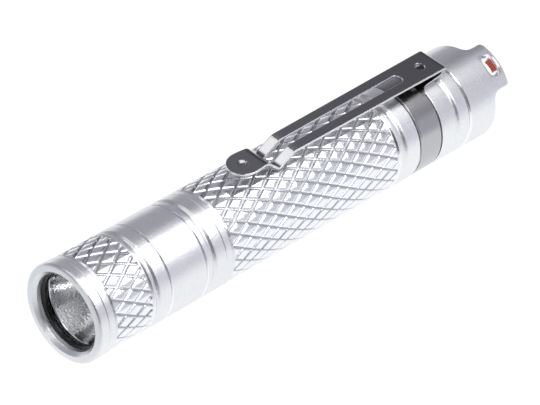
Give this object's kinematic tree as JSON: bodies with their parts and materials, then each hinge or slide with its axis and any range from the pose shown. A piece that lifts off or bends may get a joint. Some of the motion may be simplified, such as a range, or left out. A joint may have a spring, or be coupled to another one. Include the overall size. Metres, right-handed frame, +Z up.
{
  "type": "flashlight",
  "caption": "Slim pocket flashlight: knurled aluminium barrel for one cell, screw-on bezel, head and tail cap, push-button tail switch and a folded steel pocket clip.",
  "frame": {"origin": "on the resting surface, under the middle of the length and under the barrel's axis", "axes": "+X along the barrel towards the tail button, so the light shines towards -X; +Z up towards the pocket clip"},
  "size_m": [0.1036, 0.0182, 0.021],
  "materials": {
    "bare_aluminium": "bead-blasted satin with bright machined edges",
    "clip_steel": "dark satin with bright sheared edges",
    "lens_glass": "clear and polished",
    "seal_rubber": "glossy black",
    "reflector_mirror": "finely dimpled mirror",
    "boot_silicone": "matte orange-red silicone",
    "white_plastic": "matte",
    "black_plastic": "matte",
    "phosphor": "clear dome over yellow phosphor",
    "circuit_board": "green solder mask",
    "copper": "satin",
    "contact_brass": "polished",
    "bright_steel": "nickel plated",
    "cell_sleeve": "plain shrink sleeve",
    "red_wire": "insulated wire"
  },
  "bodies": {
    "body": {"body_tube": "bare_aluminium", "head_o_ring": "seal_rubber", "battery_positive_cap": "bright_steel", "battery_can": "bright_steel", "battery_sleeve": "cell_sleeve"},
    "head_carriage": {"driver_retaining_ring": "contact_brass"},
    "head": {"head_housing": "bare_aluminium", "bezel_o_ring": "seal_rubber", "driver_board": "circuit_board", "driver_inductor": "black_plastic", "driver_chip": "black_plastic", "driver_capacitor": "copper", "positive_contact_spring": "contact_brass", "led_board": "copper", "led_package": "white_plastic", "led_dome": "phosphor", "led_gasket": "white_plastic", "led_lead_positive": "red_wire", "led_lead_negative": "black_plastic"},
    "bezel_carriage": {"lens": "lens_glass", "lens_seal": "seal_rubber", "reflector": "reflector_mirror"},
    "bezel": {"bezel": "bare_aluminium"},
    "tail_carriage": {"tail_o_ring": "seal_rubber"},
    "tail_cap": {"tail_cap": "bare_aluminium", "switch_board": "circuit_board", "switch_housing": "black_plastic", "switch_retaining_ring": "contact_brass", "boot_washer": "bright_steel", "tail_contact_spring": "contact_brass"},
    "switch_button": {"switch_plunger": "white_plastic", "switch_boot": "boot_silicone"},
    "clip": {"clip_band": "clip_steel"},
    "clip_arm": {"clip_arm": "clip_steel"}
  },
  "joints": [
    {"name": "head_advance", "type": "slide", "parent": "body", "child": "head_carriage", "axis": [-1, 0, 0], "range_m": [0, 0.0031]},
    {"name": "head_turn", "type": "hinge", "parent": "head_carriage", "child": "head", "pos_m": [0, 0, 0.00908], "axis": [-1, 0, 0], "range_deg": [0, 1080]},
    {"name": "bezel_advance", "type": "slide", "parent": "head", "child": "bezel_carriage", "axis": [-1, 0, 0], "range_m": [0, 0.0041]},
    {"name": "bezel_turn", "type": "hinge", "parent": "bezel_carriage", "child": "bezel", "pos_m": [0, 0, 0.00908], "axis": [-1, 0, 0], "range_deg": [0, 1440]},
    {"name": "tail_advance", "type": "slide", "parent": "body", "child": "tail_carriage", "axis": [1, 0, 0], "range_m": [0, 0.0051]},
    {"name": "tail_turn", "type": "hinge", "parent": "tail_carriage", "child": "tail_cap", "pos_m": [0, 0, 0.00908], "axis": [1, 0, 0], "range_deg": [0, 1800]},
    {"name": "switch_press", "type": "slide", "parent": "tail_cap", "child": "switch_button", "axis": [-1, 0, 0], "range_m": [0, 0.0015], "stiffness_N_per_m": 2000, "deforming": ["switch_boot"]},
    {"name": "clip_swivel", "type": "hinge", "parent": "body", "child": "clip", "pos_m": [0, 0, 0.00908], "axis": [1, 0, 0], "continuous": true},
    {"name": "clip_flex", "type": "hinge", "parent": "clip", "child": "clip_arm", "pos_m": [0.03744, 0, 0.01941], "axis": [0, 1, 0], "range_deg": [0, 6], "stiffness_Nm_per_rad": 4.3, "springref_deg": -0.57}
  ],
  "couplings": [
    {"joint": "head_advance", "follows": "head_turn", "m_per_rad": 0.00015915},
    {"joint": "bezel_advance", "follows": "bezel_turn", "m_per_rad": 0.00015915},
    {"joint": "tail_advance", "follows": "tail_turn", "m_per_rad": 0.00015915}
  ]
}
